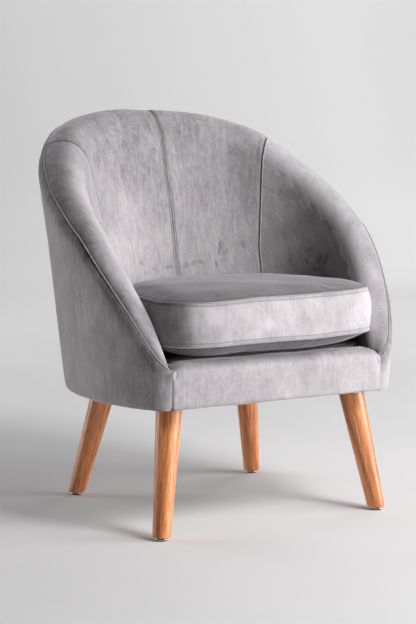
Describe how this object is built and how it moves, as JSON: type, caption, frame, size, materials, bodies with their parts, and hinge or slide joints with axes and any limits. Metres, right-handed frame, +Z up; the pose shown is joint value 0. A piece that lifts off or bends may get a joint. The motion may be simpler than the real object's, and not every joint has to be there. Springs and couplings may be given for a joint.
{
  "type": "tub chair",
  "caption": "Low tub chair with a round back sweeping down into the arms, a loose seat cushion and splayed tapered wooden legs.",
  "frame": {"origin": "on the floor, under the middle of the chair's overall box", "axes": "+X to the sitter's left, seen from the front to the right; +Y to the back; +Z up"},
  "size_m": [0.6538, 0.6007, 0.77],
  "materials": {
    "velvet": "short-pile velvet, crushed look",
    "velvet_piping": "velvet on the bias, piped",
    "cushion_velvet": "short-pile velvet",
    "foam": "cut polyurethane foam",
    "seat_foam": "moulded seat foam",
    "plywood": "raw birch plywood",
    "frame_timber": "planed softwood",
    "hardboard": "pressed hardboard",
    "webbing": "elastic webbing",
    "felt": "needled felt",
    "decking_cloth": "black woven decking cloth",
    "dust_cloth": "black non-woven cloth",
    "leg_wood": "stained and lacquered hardwood",
    "zinc_steel": "zinc plated",
    "nickel_steel": "nickel plated",
    "glide_pad": "dark moulded pad",
    "zip_tape": "woven tape",
    "zip_teeth": "nylon coil",
    "zip_metal": "grey lacquered metal"
  },
  "bodies": {
    "chair": {"base_ring": "plywood", "seat_ring": "plywood", "front_rail": "frame_timber", "corner_blocks": "frame_timber", "side_blocks": "frame_timber", "back_ribs": "plywood", "arm_ribs_left": "plywood", "arm_ribs_right": "plywood", "top_rail": "frame_timber", "arm_rail_left": "frame_timber", "arm_rail_right": "frame_timber", "back_board": "hardboard", "arm_board_left": "hardboard", "arm_board_right": "hardboard", "webbing_lengthwise": "webbing", "webbing_crosswise": "webbing", "deck_pad": "felt", "deck_cloth": "decking_cloth", "back_foam": "foam", "arm_foam_left": "foam", "arm_foam_right": "foam", "front_rail_foam": "foam", "inside_back_left": "velvet", "inside_back_right": "velvet", "inside_arm_left": "velvet", "inside_arm_right": "velvet", "outside_back": "velvet", "outside_arm_left": "velvet", "outside_arm_right": "velvet", "front_rail_cover": "velvet", "crest_piping": "velvet_piping", "dust_cover": "dust_cloth", "leg_front_left": "leg_wood", "leg_front_right": "leg_wood", "leg_rear_left": "leg_wood", "leg_rear_right": "leg_wood", "leg_bolts": "zinc_steel", "tee_nuts": "zinc_steel", "glide_discs": "nickel_steel", "glide_pads": "glide_pad"},
    "cushion": {"cushion_core": "seat_foam", "cushion_top_panel": "cushion_velvet", "cushion_bottom_panel": "cushion_velvet", "cushion_border": "cushion_velvet", "cushion_welt_top": "velvet_piping", "cushion_welt_bottom": "velvet_piping", "zip_tape": "zip_tape", "zip_teeth": "zip_teeth"},
    "zip_runner": {"zip_slider": "zip_metal", "zip_pull": "zip_metal"}
  },
  "joints": [
    {"name": "cushion_lift", "type": "slide", "parent": "chair", "child": "cushion", "axis": [0, 0, 1], "range_m": [0, 0.46]},
    {"name": "zip_travel", "type": "hinge", "parent": "cushion", "child": "zip_runner", "pos_m": [0, -0.26654, 0.3], "axis": [0, 0, 1], "range_deg": [-34, 0]}
  ]
}
